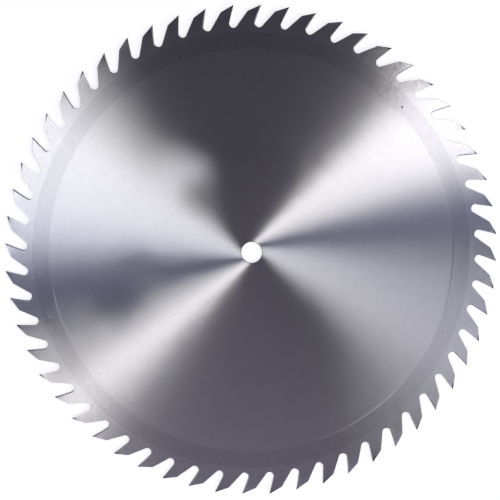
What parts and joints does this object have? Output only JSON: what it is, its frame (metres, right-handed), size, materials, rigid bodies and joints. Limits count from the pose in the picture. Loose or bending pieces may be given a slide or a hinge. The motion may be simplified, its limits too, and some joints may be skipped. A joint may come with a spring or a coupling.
{
  "type": "circular saw blade",
  "caption": "Flat round steel saw blade with a plain central bore, deep rounded gullets and hooked teeth that are bent to one side and the other in turn and ground to a bevel.",
  "frame": {"origin": "centre of the bore, halfway through the plate", "axes": "+Z along the bore, out of the face seen in the picture; +Y through the first tooth's tip; seen from +Z the teeth lead clockwise"},
  "size_m": [0.7, 0.7, 0.0048],
  "materials": {
    "ground_steel": "ground in fine circles round the bore"
  },
  "bodies": {
    "root": {"saw_blade": "ground_steel"}
  },
  "joints": []
}
